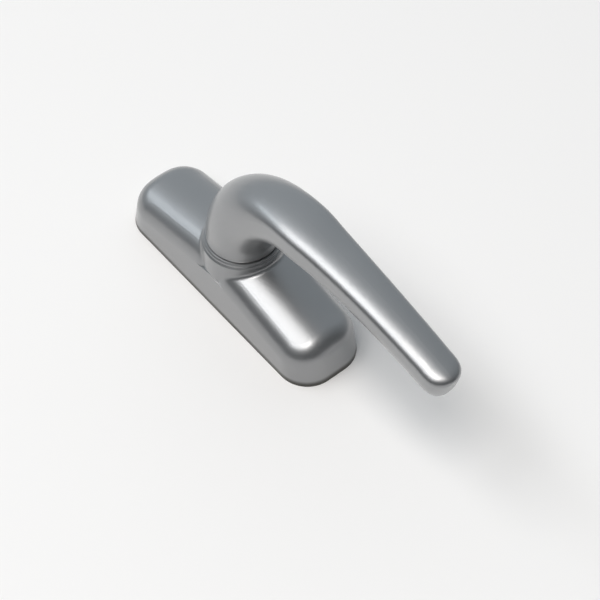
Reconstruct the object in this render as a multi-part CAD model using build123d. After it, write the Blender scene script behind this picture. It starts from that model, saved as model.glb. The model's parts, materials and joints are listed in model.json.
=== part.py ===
from build123d import *
from math import acos, atan, cos, degrees, exp, pi, radians, sin, tan
import os

# A window handle for a casement sash: a lever on a cast casing that holds a rack drive.
# The origin is on the lever's axis, in the plane of the sash. X runs along the casing towards
# the tip of the closed lever, Z points out of the sash. All sizes are in millimetres.

# Clearances
SLIDE_GAP = 0.3          # between a sliding piece and its guide
FLAT_GAP = 0.2           # between flat faces that turn or slide on each other
RUNNING_GAP = 0.05       # radial, between a journal and its bearing
SEAT_GAP = 0.02          # around pieces that are pushed into a seat

# Casing
CASING_LENGTH = 108.5
CASING_WIDTH = 32.0
CASING_CORNER = 12.0     # corner radius of the foot
SIDE_DRAFT = 0.03        # inset of the long walls for each millimetre of height
END_DRAFT = 0.18         # the same for the end walls of the casing and of its cushions
BOSS_HEIGHT = 28.0
BOSS_INSET = 0.1         # of the boss from the long walls
BOSS_EDGE = 0.8
BOSS_ROOT_RADIUS = 2.0   # between the boss and the cushions
CUSHION_START = -6.0     # from the axis to a cushion's inner end, at the foot
CUSHION_DROP = 0.2       # from the boss to where the two sloping cushions would meet
CUSHION_FALL = 0.2       # slope of the cushions towards the ends
CUSHION_CROWN = 24.0     # radius of their tops, across the casing
CUSHION_EDGE = 8.5       # radius of their edges
SADDLE_DROP = 10.0       # from the middle of a cushion down to the body that carries it
RIM_WALL = 1.5           # wall beside the back plate
GUIDE_WALL = 3.5         # wall beside the racks, at the foot

# Fixing of the casing and of its back plate
FIXING_RADIUS = 2.5      # tapped holes for the sash screws
FIXING_DEPTH = 11.0
FIXING_BOSS_RADIUS = 4.5
FIXING_SPACING = 84.0
PLATE_THICKNESS = 2.0
PLATE_SCREW_INSET = 7.5  # from the end of the foot
PLATE_SCREW_Y = 8.0
PLATE_SCREW_RADIUS = 1.5
PLATE_SCREW_HEAD = 1.3   # height of the countersunk head, which widens by as much
PLATE_SCREW_LENGTH = 7.5
PLATE_SCREW_BOSS_RADIUS = 3.0
DRIVER_CROSS_WIDTH = 0.7
DRIVER_CROSS_LENGTH = 3.2
DRIVER_CROSS_DEPTH = 0.8

# Rack drive
GEAR_MODULE = 1.0
PINION_TEETH = 16
PRESSURE_ANGLE = 20.0
ADDENDUM = 0.8           # stub teeth, in modules
DEDENDUM = 1.05          # in modules
BACKLASH = 0.12
TURN_ANGLE = 90.0        # from closed to open
RACK_THICKNESS = 5.6
FOOT_RADIUS = 4.6        # round end of a rack's drive foot
FOOT_GAP = 4.6           # between the pinion and a drive foot at rest
DRIVE_BORE_RADIUS = 3.0  # takes the drive pin of a sash rod
DRIVE_SLOT_MARGIN = 0.7  # room around the drive pin in the back plate

# Spindle and what turns on it
JOURNAL_RADIUS = 6.45
LEVER_SQUARE = 8.8       # square end in the lever
GEAR_SQUARE = 8.4        # square that carries the pinion and the detent disc
PIVOT_RADIUS = 5.2       # lower end, in the back plate
SOCKET_DEPTH = 13.0      # square socket in the lever's neck
SCREW_RADIUS = 2.0
SCREW_HEAD_RADIUS = 3.5
SCREW_HEAD_HEIGHT = 2.2
SCREW_GRIP = 7.0         # length of screw in the lever
SCREW_CLEARANCE = 0.2
SCREW_RECESS = 0.4       # from the sash plane to the screw head
HEX_KEY_RADIUS = 1.7
HEX_KEY_DEPTH = 1.3
WASHER_THICKNESS = 0.8
WASHER_SPLIT = 0.6
BUSH_WALL = 1.5
FLANGE_RADIUS = 10.5
FLANGE_THICKNESS = 1.6
NECK_RING_RADIUS = 14.6
NECK_RING_HEIGHT = 1.4
NECK_RING_EDGE = 0.5
THRUST_RING_WALL = 1.8
THRUST_RING_THICKNESS = 1.0

# Detent
DISC_RADIUS = 12.2
DISC_THICKNESS = 2.6
BALL_RADIUS = 1.5
BALL_CIRCLE = 10.2       # distance of the balls from the axis
GROOVE_WIDTH = 2.6
GROOVE_DEPTH = 0.45
DIMPLE_RADIUS = 1.0
DIMPLE_DEPTH = 0.3       # below the groove
DETENT_COUNT = 4
SPRING_WIRE_RADIUS = 0.2
SPRING_COIL_RADIUS = 1.15
SPRING_TURNS = 5
SPRING_STEPS = 12        # facets in a turn
SPRING_HOLE_DEPTH = 8.0

# Lever
NECK_RADIUS = 13.5
LEVER_REACH = 112.0      # from the axis to the tip
BEND_REACH = 36.0        # from the axis to the line about which the neck bends over
BEND_RISE = 40.0         # height of the grip's widest line over the neck's foot
GRIP_ARCH_RADIUS = 330.0 # the grip falls slightly towards the tip
GRIP_ROOT_WIDTH = 20.2   # the three sizes of a section: width, and height above and below
GRIP_ROOT_CROWN = 3.6    # the widest line
GRIP_ROOT_KEEL = 13.5
GRIP_END_WIDTH = 12.4
GRIP_END_CROWN = 3.0
GRIP_END_KEEL = 10.4
WIDTH_RUN = 45.0         # lengths over which the grip takes its slender form
KEEL_RUN = 26.0
ROUND = 0.5523           # fullness of a quarter of an ellipse
KEEL_FULLNESS = 0.78     # fullness of the grip's section below the widest line
TIP_LENGTH = 7.0         # length over which the tip rounds off
TIP_PLAN_SQUARENESS = 2.2
TIP_SIDE_SQUARENESS = 4.0
BEND_STEPS = 6
GRIP_STEPS = 14
LAST_STEP = 0.6          # length of the step at the tip, to the others

# Places that follow from the sizes above
POCKET_HALF = CASING_WIDTH / 2 - GUIDE_WALL
TOOTH_PITCH = pi * GEAR_MODULE
PITCH_RADIUS = GEAR_MODULE * PINION_TEETH / 2
TIP_RADIUS = PITCH_RADIUS + ADDENDUM * GEAR_MODULE
ROOT_RADIUS = PITCH_RADIUS - DEDENDUM * GEAR_MODULE
STROKE = PITCH_RADIUS * radians(TURN_ANGLE)
RACK_TEETH = round(STROKE / TOOTH_PITCH) + 3
RACK_Z = PLATE_THICKNESS + FLAT_GAP
RACK_TOP = RACK_Z + RACK_THICKNESS
DISC_Z = RACK_TOP + SLIDE_GAP
DISC_TOP = DISC_Z + DISC_THICKNESS
HUB_UNDERSIDE = DISC_TOP + FLAT_GAP + THRUST_RING_THICKNESS
DRIVE_X = TIP_RADIUS + FOOT_GAP + FOOT_RADIUS
FIXING_X = FIXING_SPACING / 2
PLATE_SCREW_X = CASING_LENGTH / 2 - PLATE_SCREW_INSET
PLATE_SCREW_PLACES = [(x, y) for x in (PLATE_SCREW_X, -PLATE_SCREW_X) for y in (PLATE_SCREW_Y, -PLATE_SCREW_Y)]
RIDGE_HEIGHT = BOSS_HEIGHT - CUSHION_DROP
BOSS_FOOT_RADIUS = CASING_WIDTH / 2 - BOSS_INSET
BOSS_TOP_RADIUS = BOSS_FOOT_RADIUS - SIDE_DRAFT * BOSS_HEIGHT
BEARING_RADIUS = JOURNAL_RADIUS + RUNNING_GAP
BUSH_RADIUS = BEARING_RADIUS + BUSH_WALL
NECK_BASE = BOSS_HEIGHT + FLANGE_THICKNESS + FLAT_GAP
SOCKET_TOP = NECK_BASE + SOCKET_DEPTH
WASHER_Z = SCREW_RECESS + SCREW_HEAD_HEIGHT
WASHER_TOP = WASHER_Z + WASHER_THICKNESS
GROOVE_BOTTOM = DISC_TOP - GROOVE_DEPTH
BALL_Z = GROOVE_BOTTOM + RUNNING_GAP + BALL_RADIUS
BALL_HOLE_RADIUS = BALL_RADIUS + RUNNING_GAP
SPRING_HOLE_TOP = HUB_UNDERSIDE + SPRING_HOLE_DEPTH
GRIP_LENGTH = LEVER_REACH - BEND_REACH


def disc(radius, bottom, top, x=0.0, y=0.0):
    """Upright cylinder between two heights."""
    return Pos(x, y, (bottom + top) / 2) * Cylinder(radius, top - bottom)


def ring(outer, inner, bottom, top):
    """Upright ring about the lever's axis."""
    return disc(outer, bottom, top) - disc(inner, bottom, top)


def slab(length, width, corner, bottom, top):
    """Rounded rectangular slab about the lever's axis."""
    return extrude(Pos(0, 0, bottom) * RectangleRounded(length, width, corner), top - bottom)


def square_bar(width, bottom, top):
    """Square bar on the lever's axis."""
    return Pos(0, 0, (bottom + top) / 2) * Box(width, width, top - bottom)


def mirrored_pair(shape):
    """A shape and its mirror image across the lever's axis."""
    return shape + mirror(shape, about=Plane.YZ)


def drafted_block(start, end, inset):
    """A rounded block between two places along the casing, with drafted walls, drawn in by an inset."""
    height = BOSS_HEIGHT + CASING_CORNER
    length = end - start - 2 * inset
    width = CASING_WIDTH - 2 * inset
    corner = CASING_CORNER - inset
    narrowing = SIDE_DRAFT * height
    foot = RectangleRounded(length, width, corner)
    head = RectangleRounded(length - 2 * END_DRAFT * height, width - 2 * narrowing, corner - narrowing)
    return Pos((start + end) / 2, 0, 0) * loft([foot, Pos(0, 0, height) * head], ruled=True)


def cushion_form(inset):
    """The sloping, crowned cushion on the lever's side, with sharp edges, drawn in by an inset."""
    fall = degrees(atan(CUSHION_FALL))
    barrel = Cylinder(CUSHION_CROWN - inset, 2 * CASING_LENGTH)
    barrel = Pos(0, 0, RIDGE_HEIGHT) * Rot(0, 90 + fall, 0) * Pos(CUSHION_CROWN, 0, 0) * barrel
    return drafted_block(CUSHION_START, CASING_LENGTH / 2, inset) & barrel


def cushion():
    form = cushion_form(0)
    top = form.faces().sort_by(lambda face: face.center().Z)[-1]
    return fillet(top.edges(), CUSHION_EDGE)


def saddle(inset):
    """The low body that carries a cushion, on one side of the axis, drawn in by an inset."""
    block = drafted_block(-CASING_LENGTH / 2, CASING_LENGTH / 2, inset)
    top = Plane((0, 0, RIDGE_HEIGHT - SADDLE_DROP - inset), z_dir=(CUSHION_FALL, 0, 1))
    return split(split(block, top, keep=Keep.BOTTOM), Plane.YZ, keep=Keep.TOP)


def casing():
    boss = Cone(BOSS_FOOT_RADIUS, BOSS_TOP_RADIUS, BOSS_HEIGHT,
                align=(Align.CENTER, Align.CENTER, Align.MIN))
    boss = chamfer(boss.edges().sort_by(Axis.Z)[-1], BOSS_EDGE)
    cushions = mirrored_pair(cushion() + saddle(0))
    outer = cushions + boss
    seams = new_edges(cushions, boss, combined=outer).filter_by(GeomType.BSPLINE)
    outer = fillet(seams, BOSS_ROOT_RADIUS)
    cavity = mirrored_pair(cushion_form(GUIDE_WALL) + saddle(GUIDE_WALL))
    cavity += slab(CASING_LENGTH - 2 * GUIDE_WALL, 2 * POCKET_HALF, CASING_CORNER - GUIDE_WALL, 0, DISC_Z)
    cavity -= disc(BOSS_TOP_RADIUS, HUB_UNDERSIDE, RIDGE_HEIGHT)
    cavity += disc(DISC_RADIUS + SLIDE_GAP, 0, HUB_UNDERSIDE)
    cavity += slab(CASING_LENGTH - 2 * RIM_WALL, CASING_WIDTH - 2 * RIM_WALL,
                   CASING_CORNER - RIM_WALL, 0, PLATE_THICKNESS)
    for side in (1, -1):
        cavity -= disc(FIXING_BOSS_RADIUS, 0, RIDGE_HEIGHT, side * FIXING_X)
    for x, y in PLATE_SCREW_PLACES:
        cavity -= disc(PLATE_SCREW_BOSS_RADIUS, PLATE_THICKNESS, RIDGE_HEIGHT, x, y)
    body = outer - cavity
    body -= disc(BUSH_RADIUS + SEAT_GAP, HUB_UNDERSIDE, BOSS_HEIGHT)
    for side in (1, -1):
        body -= disc(FIXING_RADIUS, 0, FIXING_DEPTH, side * FIXING_X)
        body -= disc(BALL_HOLE_RADIUS, HUB_UNDERSIDE, SPRING_HOLE_TOP, side * BALL_CIRCLE)
    for x, y in PLATE_SCREW_PLACES:
        body -= disc(PLATE_SCREW_RADIUS + SEAT_GAP, 0, PLATE_SCREW_LENGTH + SLIDE_GAP, x, y)
    return body


def back_plate():
    gap = RIM_WALL + SLIDE_GAP / 2
    plate = slab(CASING_LENGTH - 2 * gap, CASING_WIDTH - 2 * gap, CASING_CORNER - gap, 0, PLATE_THICKNESS)
    plate -= disc(PIVOT_RADIUS + RUNNING_GAP, 0, PLATE_THICKNESS)
    slot = SlotCenterToCenter(STROKE, 2 * (DRIVE_BORE_RADIUS + DRIVE_SLOT_MARGIN))
    for side in (1, -1):
        plate -= extrude(Pos(side * (DRIVE_X + STROKE / 2), 0) * slot, PLATE_THICKNESS)
        plate -= disc(FIXING_BOSS_RADIUS + SLIDE_GAP / 2, 0, PLATE_THICKNESS, side * FIXING_X)
    for x, y in PLATE_SCREW_PLACES:
        plate -= Pos(x, y) * countersunk_shank(SEAT_GAP, PLATE_THICKNESS)
    return plate


def countersunk_shank(margin, length):
    """A countersunk head, flush with the sash plane, and its shank."""
    head = Cone(PLATE_SCREW_RADIUS + PLATE_SCREW_HEAD + margin, PLATE_SCREW_RADIUS + margin,
                PLATE_SCREW_HEAD, align=(Align.CENTER, Align.CENTER, Align.MIN))
    return head + disc(PLATE_SCREW_RADIUS + margin, 0, length)


def plate_screws():
    screw = countersunk_shank(0, PLATE_SCREW_LENGTH)
    for turn in (45, 135):
        screw -= Rot(0, 0, turn) * Pos(0, 0, DRIVER_CROSS_DEPTH / 2) * Box(
            DRIVER_CROSS_LENGTH, DRIVER_CROSS_WIDTH, DRIVER_CROSS_DEPTH)
    return Compound(children=[Pos(x, y) * screw for x, y in PLATE_SCREW_PLACES])


def involute(angle):
    return tan(angle) - angle


def pinion():
    pressure = radians(PRESSURE_ANGLE)
    base_radius = PITCH_RADIUS * cos(pressure)
    pitch_half_angle = (TOOTH_PITCH - BACKLASH) / 4 / PITCH_RADIUS
    flank = []
    for radius in (ROOT_RADIUS, base_radius, PITCH_RADIUS, TIP_RADIUS):
        roll = acos(min(1, base_radius / radius))
        flank.append((radius, pitch_half_angle + involute(pressure) - involute(roll)))
    outline = []
    for tooth in range(PINION_TEETH):
        middle = 2 * pi * tooth / PINION_TEETH
        outline += [(r * cos(middle - half), r * sin(middle - half)) for r, half in flank]
        outline += [(r * cos(middle + half), r * sin(middle + half)) for r, half in reversed(flank)]
    wheel = extrude(Pos(0, 0, RACK_Z) * make_face(Polyline(*outline, close=True)), DISC_Z - RACK_Z)
    return wheel - square_bar(GEAR_SQUARE + 2 * SEAT_GAP, RACK_Z, DISC_Z)


def rack():
    """The near rack, closed lever. Its teeth point at the axis, its foot lies on the middle line."""
    back = POCKET_HALF - SLIDE_GAP
    lean = tan(radians(PRESSURE_ANGLE))
    half = (TOOTH_PITCH - BACKLASH) / 4
    tip = ADDENDUM * GEAR_MODULE
    root = DEDENDUM * GEAR_MODULE
    tail = (1 - RACK_TEETH) * TOOTH_PITCH + TOOTH_PITCH
    end = DRIVE_X + FOOT_RADIUS
    outline = [(tail, -back), (tail, -PITCH_RADIUS - root)]
    for tooth in range(RACK_TEETH):
        x = tail + (tooth + 0.5) * TOOTH_PITCH
        outline += [(x - half - root * lean, -PITCH_RADIUS - root), (x - half + tip * lean, -PITCH_RADIUS + tip),
                    (x + half - tip * lean, -PITCH_RADIUS + tip), (x + half + root * lean, -PITCH_RADIUS - root)]
    outline += [(end - 2 * FOOT_RADIUS, -PITCH_RADIUS - root), (end - 2 * FOOT_RADIUS, 0), (end, 0), (end, -back)]
    blade = make_face(Polyline(*outline, close=True)) + Pos(DRIVE_X, 0) * Circle(FOOT_RADIUS)
    blade -= Pos(DRIVE_X, 0) * Circle(DRIVE_BORE_RADIUS)
    return extrude(Pos(0, 0, RACK_Z) * blade, RACK_THICKNESS)


def spindle():
    shaft = disc(PIVOT_RADIUS, SCREW_RECESS, RACK_Z)
    shaft += square_bar(GEAR_SQUARE, RACK_Z, DISC_TOP)
    shaft += disc(JOURNAL_RADIUS, DISC_TOP, NECK_BASE)
    shaft += square_bar(LEVER_SQUARE, NECK_BASE, SOCKET_TOP - FLAT_GAP)
    shaft -= disc(SCREW_RADIUS + SCREW_CLEARANCE, 0, SOCKET_TOP)
    return shaft - disc(SCREW_HEAD_RADIUS + SCREW_CLEARANCE, 0, WASHER_TOP)


def lever_screw():
    screw = disc(SCREW_HEAD_RADIUS, SCREW_RECESS, WASHER_Z)
    screw += disc(SCREW_RADIUS, WASHER_Z, SOCKET_TOP + SCREW_GRIP)
    key = RegularPolygon(HEX_KEY_RADIUS, 6)
    return screw - extrude(Pos(0, 0, SCREW_RECESS) * key, HEX_KEY_DEPTH)


def lock_washer():
    washer = ring(SCREW_HEAD_RADIUS, SCREW_RADIUS + SCREW_CLEARANCE, WASHER_Z, WASHER_TOP)
    split_at = Pos(SCREW_HEAD_RADIUS, 0, WASHER_Z) * Box(2 * SCREW_HEAD_RADIUS, WASHER_SPLIT, 2 * WASHER_TOP)
    return washer - split_at


def neck_bush():
    tube = ring(BUSH_RADIUS, BEARING_RADIUS, HUB_UNDERSIDE, BOSS_HEIGHT)
    return tube + ring(FLANGE_RADIUS, BEARING_RADIUS, BOSS_HEIGHT, BOSS_HEIGHT + FLANGE_THICKNESS)


def neck_ring():
    top = BOSS_HEIGHT + NECK_RING_HEIGHT
    cover = chamfer(disc(NECK_RING_RADIUS, BOSS_HEIGHT, top).edges().sort_by(Axis.Z)[-1], NECK_RING_EDGE)
    return cover - disc(FLANGE_RADIUS + SEAT_GAP, BOSS_HEIGHT, top)


def thrust_ring():
    return ring(BEARING_RADIUS + THRUST_RING_WALL, BEARING_RADIUS, DISC_TOP + FLAT_GAP, HUB_UNDERSIDE)


def detent_disc():
    wheel = disc(DISC_RADIUS, DISC_Z, DISC_TOP)
    wheel -= ring(BALL_CIRCLE + GROOVE_WIDTH / 2, BALL_CIRCLE - GROOVE_WIDTH / 2, GROOVE_BOTTOM, DISC_TOP)
    dimple = disc(DIMPLE_RADIUS, GROOVE_BOTTOM - DIMPLE_DEPTH, DISC_TOP, BALL_CIRCLE)
    for place in range(DETENT_COUNT):
        wheel -= Rot(0, 0, 360 * place / DETENT_COUNT) * dimple
    return wheel - square_bar(GEAR_SQUARE + 2 * SEAT_GAP, DISC_Z, DISC_TOP)


def detent_ball():
    return Pos(BALL_CIRCLE, 0, BALL_Z) * Sphere(BALL_RADIUS)


def detent_spring():
    reach = BALL_RADIUS + SPRING_WIRE_RADIUS
    bottom = BALL_Z + (reach ** 2 - SPRING_COIL_RADIUS ** 2) ** 0.5 + SEAT_GAP
    height = SPRING_HOLE_TOP - SPRING_WIRE_RADIUS - SEAT_GAP - bottom
    steps = SPRING_TURNS * SPRING_STEPS
    wire = []
    for step in range(steps + 1):
        place = Pos(BALL_CIRCLE, 0, bottom + height * step / steps) * Rot(0, 0, 360 * step / SPRING_STEPS)
        wire.append(place * Pos(SPRING_COIL_RADIUS, 0, 0) * Rot(90, 0, 0) * RegularPolygon(SPRING_WIRE_RADIUS, 6))
    return loft(wire, ruled=True)


def lever_section(place, slope, half_width, above, below, fullness):
    """A section of the lever, square to its line, at a place and slope in the XZ plane."""
    corners = ((half_width, above, ROUND), (-half_width, above, ROUND),
               (-half_width, -below, fullness), (half_width, -below, fullness))
    quarters = []
    for number, (across, height, full) in enumerate(corners):
        quarter = [(across, 0), (across, full * height), (full * across, height), (0, height)]
        quarters.append(Bezier(*(quarter if number % 2 == 0 else reversed(quarter))))
    plane = Plane((place[0], 0, place[1]), x_dir=(0, 1, 0), z_dir=(cos(slope), 0, sin(slope)))
    return plane * Face(Wire(quarters))


def blend(start, end, share):
    return start + (end - start) * share


def bend_section(turn):
    """Section of the neck after a part of its quarter turn."""
    settle = sin(turn) ** 3
    radius = blend(BEND_REACH, BEND_RISE, settle)
    place = (BEND_REACH - radius * cos(turn), NECK_BASE + radius * sin(turn))
    return lever_section(place, pi / 2 - turn,
                         blend(NECK_RADIUS, GRIP_ROOT_WIDTH / 2, settle),
                         blend(NECK_RADIUS, GRIP_ROOT_CROWN, settle),
                         blend(NECK_RADIUS, GRIP_ROOT_KEEL, settle),
                         blend(ROUND, KEEL_FULLNESS, settle))


def grip_section(to_tip):
    """Section of the grip at a distance from the tip. The last stretch rounds off."""
    run = GRIP_LENGTH - to_tip
    place = (BEND_REACH + run, NECK_BASE + BEND_RISE - run ** 2 / (2 * GRIP_ARCH_RADIUS))
    half_width = blend(GRIP_END_WIDTH, GRIP_ROOT_WIDTH, exp(-run / WIDTH_RUN)) / 2
    crown = blend(GRIP_END_CROWN, GRIP_ROOT_CROWN, exp(-run / WIDTH_RUN))
    keel = blend(GRIP_END_KEEL, GRIP_ROOT_KEEL, exp(-run / KEEL_RUN))
    into_tip = max(0, 1 - to_tip / TIP_LENGTH)
    narrow = (1 - into_tip ** TIP_PLAN_SQUARENESS) ** (1 / TIP_PLAN_SQUARENESS)
    low = (1 - into_tip ** TIP_SIDE_SQUARENESS) ** (1 / TIP_SIDE_SQUARENESS)
    return lever_section(place, -run / GRIP_ARCH_RADIUS, narrow * half_width, low * crown, low * keel,
                         KEEL_FULLNESS)


def lever():
    sections = [bend_section(pi / 2 * step / BEND_STEPS) for step in range(BEND_STEPS + 1)]
    left = [1 - step / GRIP_STEPS for step in range(1, GRIP_STEPS)] + [LAST_STEP / GRIP_STEPS]
    sections += [grip_section(GRIP_LENGTH * share ** 2) for share in left]
    arm = loft(sections)
    arm -= square_bar(LEVER_SQUARE + 2 * SEAT_GAP, NECK_BASE, SOCKET_TOP)
    return arm - disc(SCREW_RADIUS + SEAT_GAP, NECK_BASE, SOCKET_TOP + SCREW_GRIP + SCREW_RADIUS)


half_turn = Rot(0, 0, 180)
pieces = {
    "casing": casing(),
    "back_plate": back_plate(),
    "plate_screws": plate_screws(),
    "neck_bush": neck_bush(),
    "neck_ring": neck_ring(),
    "thrust_ring": thrust_ring(),
    "lever": lever(),
    "spindle": spindle(),
    "pinion": pinion(),
    "detent_disc": detent_disc(),
    "lever_screw": lever_screw(),
    "lock_washer": lock_washer(),
    "rack_near": rack(),
    "rack_far": half_turn * rack(),
    "detent_ball_front": detent_ball(),
    "detent_ball_rear": half_turn * detent_ball(),
    "detent_spring_front": detent_spring(),
    "detent_spring_rear": half_turn * detent_spring(),
}
os.makedirs("parts", exist_ok=True)
for name, piece in pieces.items():
    export_step(piece, f"parts/{name}.step")
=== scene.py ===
import bpy
import json
from math import cos, pi, radians, sin, tan
from mathutils import Matrix, Quaternion, Vector


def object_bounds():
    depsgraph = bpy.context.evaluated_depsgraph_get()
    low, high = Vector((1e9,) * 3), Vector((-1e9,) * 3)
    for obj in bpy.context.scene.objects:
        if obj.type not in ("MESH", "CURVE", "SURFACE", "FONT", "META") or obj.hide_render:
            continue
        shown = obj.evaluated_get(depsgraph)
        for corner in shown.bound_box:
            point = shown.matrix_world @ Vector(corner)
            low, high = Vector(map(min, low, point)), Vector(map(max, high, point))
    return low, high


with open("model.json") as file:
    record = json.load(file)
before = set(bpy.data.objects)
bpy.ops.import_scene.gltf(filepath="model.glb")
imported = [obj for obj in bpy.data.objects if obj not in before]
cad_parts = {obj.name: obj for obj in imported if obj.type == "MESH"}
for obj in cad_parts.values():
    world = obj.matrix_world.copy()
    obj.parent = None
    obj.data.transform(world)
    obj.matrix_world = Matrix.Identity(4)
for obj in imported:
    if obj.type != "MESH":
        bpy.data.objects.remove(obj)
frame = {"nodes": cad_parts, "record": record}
cad_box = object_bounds()
nodes = frame["nodes"]

# The photograph's camera: direction from the handle and roll in degrees, distance in metres, sensor width
# in millimetres, focal length in pixels of the picture, and the pixel where the lever's axis meets the sash.
CAMERA_TURN = 52.38
CAMERA_RISE = 53.71
CAMERA_ROLL = 0.88
CAMERA_DISTANCE = 0.8085
CAMERA_SENSOR = 36.0
PICTURE = 600
FOCAL_PIXELS = 2153
AXIS_PIXEL = (244.0, 280.5)

# Light: four softboxes over the near side and the left end, in a room that is brightest on the far left.
# Each softbox has its direction, its angles along and across the casing as seen from the handle, its
# level as a share of plain white, and its tint.
LAMP_DISTANCE = 2.4
SOFTBOXES = {
    "key_softbox": (Vector((0.18, -0.25, 0.95)), (23.0, 21.0), 0.355, (1.04, 1.0, 0.96)),
    "near_softbox": (Vector((0.0, -0.52, 0.85)), (34.0, 16.0), 0.145, (1.0, 1.0, 1.0)),
    "middle_softbox": (Vector((-0.36, -0.32, 0.88)), (28.0, 22.0), 0.24, (1.0, 1.0, 1.0)),
    "left_softbox": (Vector((-0.77, -0.26, 0.60)), (22.0, 9.0), 0.033, (0.92, 1.0, 1.06)),
}
ROOM_BRIGHT_SIDE = Vector((-0.72, 0.5, 0.48))
ROOM_DARK_LEVEL = 0.11
ROOM_GAIN = 0.58
ROOM_TINT = (0.92, 1.0, 1.06, 1)
FLOOR_COLOUR = (0.866, 0.852, 0.842, 1)
FLOOR_SIZE = 6.0

# Satin casting: grain and patches of sheen per metre, its two silvers, and a painted shade line round the
# foot of the casing where it meets the floor, with the heights in metres where the painted shade starts to
# clear and where it is gone.
GRAIN_SCALE = 2400.0
SHEEN_SCALE = 38.0
SILVER_DARK = (0.28, 0.284, 0.29, 1)
SILVER_LIGHT = (0.32, 0.324, 0.33, 1)
# Colour of the painted contact shadow along the casing's foot.
FOOT_SHADE_COLOUR = (0.06, 0.058, 0.052, 1)
FOOT_SHADE_BOTTOM = 0.0009
FOOT_SHADE_TOP = 0.0029

# Black plastic: its skin's specks per metre and their two tones.
SKIN_SCALE = 900.0
BLACK_DARK = (0.022, 0.022, 0.024, 1)
BLACK_LIGHT = (0.04, 0.04, 0.043, 1)

# Bare metals: dark and light tone, lowest and highest roughness, and clouds per metre.
BARE_METALS = {
    "bright_steel": ((0.50, 0.50, 0.51, 1), (0.62, 0.62, 0.63, 1), (0.2, 0.35), 700.0),
    "zinced_steel": ((0.52, 0.53, 0.55, 1), (0.66, 0.67, 0.68, 1), (0.25, 0.45), 250.0),
    "cast_zinc": ((0.36, 0.37, 0.38, 1), (0.46, 0.47, 0.48, 1), (0.45, 0.6), 500.0),
}


class Link:
    """An output of a node, with arithmetic that adds Math nodes."""

    def __init__(self, tree, socket):
        self.tree = tree
        self.socket = socket

    def maths(self, operation, first, second):
        return self.tree.node("ShaderNodeMath", {"operation": operation}, {0: first, 1: second})

    def __add__(self, other):
        return self.maths("ADD", self, other)

    def __radd__(self, other):
        return self.maths("ADD", other, self)

    def __mul__(self, other):
        return self.maths("MULTIPLY", self, other)

    def __rmul__(self, other):
        return self.maths("MULTIPLY", other, self)


class Tree:
    """The node tree of a finish or of the room."""

    def __init__(self, owner):
        owner.use_nodes = True
        self.owner = owner
        self.tree = owner.node_tree
        self.tree.nodes.clear()

    def node(self, kind, settings=None, inputs=None, output=0):
        """Adds a node with its settings, then its inputs, and gives one of its outputs."""
        node = self.tree.nodes.new(kind)
        for name, setting in (settings or {}).items():
            setattr(node, name, setting)
        for name, item in (inputs or {}).items():
            if isinstance(item, Link):
                self.tree.links.new(item.socket, node.inputs[name])
            else:
                node.inputs[name].default_value = item
        return Link(self, node.outputs[output]) if node.outputs else None

    def place(self):
        return self.node("ShaderNodeTexCoord", output="Object")

    def cloud(self, scale, detail):
        """Soft noise from 0 to 1 over the piece."""
        return self.node("ShaderNodeTexNoise", inputs={
            "Vector": self.place(), "Scale": scale, "Detail": detail})

    def colours(self, share, first, second):
        """Mixes two colours. A Mix node takes colours at sockets 6 and 7 and gives one at output 2."""
        return self.node("ShaderNodeMix", {"data_type": "RGBA"}, {
            0: share, 6: first, 7: second}, output=2)

    def bump(self, height, strength, depth):
        return self.node("ShaderNodeBump", inputs={
            "Height": height, "Strength": strength, "Distance": depth})

    def surface(self, shader):
        self.node("ShaderNodeOutputMaterial", inputs={"Surface": shader})
        return self.owner


def between(low, high, share):
    """Goes from low to high as share goes from 0 to 1."""
    return low + (high - low) * share


def new_finish(name):
    return Tree(bpy.data.materials.new(name))


def satin_casting():
    """Satin silver-grey casting: blasted grain under clear lacquer, with a slightly uneven sheen, and a
    painted contact shadow along its foot.
    """
    finish = new_finish("satin_casting")
    grain = finish.cloud(GRAIN_SCALE, detail=2.0)
    drift = finish.cloud(SHEEN_SCALE, detail=3.0)
    height = finish.node("ShaderNodeSeparateXYZ", inputs={"Vector": finish.place()}, output="Z")
    # Painted shade: darkens the casing's foot and dulls its metal and lacquer there, standing in for the
    # contact shadow where it meets the floor.
    unshaded = finish.node("ShaderNodeMapRange", {"interpolation_type": "SMOOTHSTEP"}, {
        "Value": height, "From Min": FOOT_SHADE_BOTTOM, "From Max": FOOT_SHADE_TOP})
    silver = finish.colours(drift, SILVER_DARK, SILVER_LIGHT)
    shader = finish.node("ShaderNodeBsdfPrincipled", inputs={
        "Base Color": finish.colours(unshaded, FOOT_SHADE_COLOUR, silver),
        "Metallic": between(0.3, 0.9, unshaded),
        "Roughness": 0.34 + 0.06 * drift + 0.04 * grain,
        "Normal": finish.bump(grain, strength=0.08, depth=0.0002),
        "Coat Weight": between(0.1, 0.6, unshaded),
        "Coat Roughness": 0.16})
    return finish.surface(shader)


def dark_acetal():
    """Black moulded plastic with a fine matt skin."""
    finish = new_finish("dark_acetal")
    drift = finish.cloud(SKIN_SCALE, detail=3.0)
    shader = finish.node("ShaderNodeBsdfPrincipled", inputs={
        "Base Color": finish.colours(drift, BLACK_DARK, BLACK_LIGHT),
        "Roughness": between(0.45, 0.65, drift),
        "Normal": finish.bump(drift, strength=0.15, depth=0.0001)})
    return finish.surface(shader)


def bare_metal(name, dark, light, roughness, scale):
    """Machined steel, zinc plate or cast zinc, with cloudy tone and sheen."""
    finish = new_finish(name)
    drift = finish.cloud(scale, detail=4.0)
    shader = finish.node("ShaderNodeBsdfPrincipled", inputs={
        "Base Color": finish.colours(drift, dark, light),
        "Metallic": 1.0,
        "Roughness": between(*roughness, drift),
        "Normal": finish.bump(drift, strength=0.12, depth=0.0001)})
    return finish.surface(shader)


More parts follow.
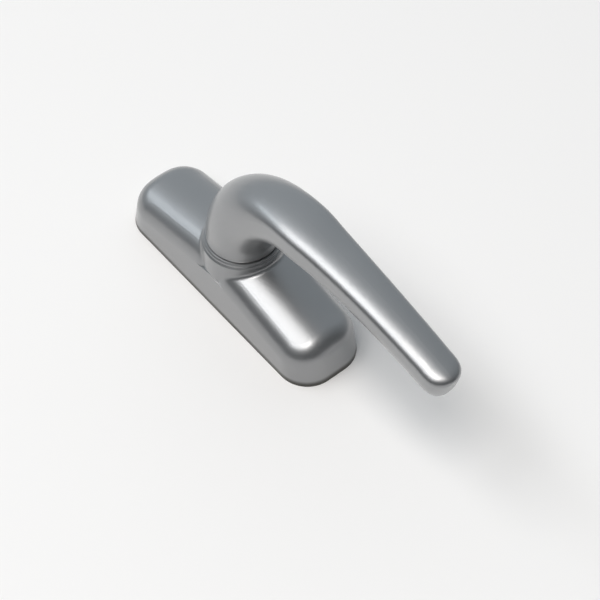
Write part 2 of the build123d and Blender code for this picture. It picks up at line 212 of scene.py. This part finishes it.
def dress_pieces():
    """Gives each piece the finish that the record names for it."""
    finishes = {"satin_casting": satin_casting(), "dark_acetal": dark_acetal()}
    for name, metal in BARE_METALS.items():
        finishes[name] = bare_metal(name, *metal)
    for piece in frame["record"]["subparts"]:
        slots = nodes[piece["node"]].data.materials
        slots.clear()
        slots.append(finishes[piece["material_slot"]])


def lay_floor():
    """Lays a pale floor under the back plate."""
    bpy.ops.object.select_all(action="DESELECT")
    bpy.ops.mesh.primitive_plane_add(size=FLOOR_SIZE, location=(0, 0, cad_box[0][2]))
    floor = bpy.context.object
    floor.name = "floor"
    finish = new_finish("pale_floor")
    shader = finish.node("ShaderNodeBsdfDiffuse", inputs={"Color": FLOOR_COLOUR})
    floor.data.materials.append(finish.surface(shader))


def light_room():
    """Lights the room from its dark level up to its bright side."""
    room = Tree(bpy.data.worlds.new("room"))
    bpy.context.scene.world = room.owner
    direction = room.node("ShaderNodeTexCoord", output="Generated")
    towards = room.node("ShaderNodeVectorMath", {"operation": "DOT_PRODUCT"}, {
        0: direction, 1: ROOM_BRIGHT_SIDE.normalized()}, output="Value")
    level = ROOM_DARK_LEVEL + ROOM_GAIN * room.node("ShaderNodeClamp", inputs={"Value": towards})
    light = room.node("ShaderNodeBackground", inputs={"Color": ROOM_TINT, "Strength": level})
    room.node("ShaderNodeOutputWorld", inputs={"Surface": light})


def hang_lamp(name, direction, angles, level, tint):
    """Hangs a softbox that faces the handle. Its level is what it adds to a white floor there."""
    towards = direction.normalized()
    along = (Vector((1, 0, 0)) - towards * towards.x).normalized()
    lamp = bpy.data.lights.new(name, "AREA")
    lamp.shape = "RECTANGLE"
    lamp.size, lamp.size_y = [2 * LAMP_DISTANCE * tan(radians(angle / 2)) for angle in angles]
    lamp.energy = level * (pi * LAMP_DISTANCE) ** 2 / towards.z
    lamp.color = tint
    hung = bpy.data.objects.new(name, lamp)
    bpy.context.scene.collection.objects.link(hung)
    hung.location = towards * LAMP_DISTANCE
    hung.rotation_euler = Matrix((along, towards.cross(along), towards)).transposed().to_euler()


def place_camera():
    """Sets up the camera, turned so that the lever's axis falls on its pixel of the picture."""
    turn = radians(CAMERA_TURN)
    rise = radians(CAMERA_RISE)
    back = Vector((sin(turn) * cos(rise), -cos(turn) * cos(rise), sin(rise)))
    right = Vector((cos(turn), sin(turn), 0))
    up = back.cross(right)
    metres_per_pixel = CAMERA_DISTANCE / FOCAL_PIXELS
    across = (PICTURE / 2 - AXIS_PIXEL[0]) * metres_per_pixel
    down = (PICTURE / 2 - AXIS_PIXEL[1]) * metres_per_pixel
    lens = bpy.data.cameras.new("camera")
    lens.sensor_width = CAMERA_SENSOR
    lens.lens = FOCAL_PIXELS / PICTURE * CAMERA_SENSOR
    camera = bpy.data.objects.new("camera", lens)
    bpy.context.scene.collection.objects.link(camera)
    camera.location = back * CAMERA_DISTANCE
    line = camera.location - right * across + up * down
    roll = Quaternion((0, 0, 1), radians(CAMERA_ROLL))
    camera.rotation_euler = (line.to_track_quat("Z", "Y") @ roll).to_euler()
    bpy.context.scene.camera = camera


dress_pieces()
lay_floor()
light_room()
for softbox_name, softbox in SOFTBOXES.items():
    hang_lamp(softbox_name, *softbox)
place_camera()
bpy.context.scene.view_settings.view_transform = "Standard"
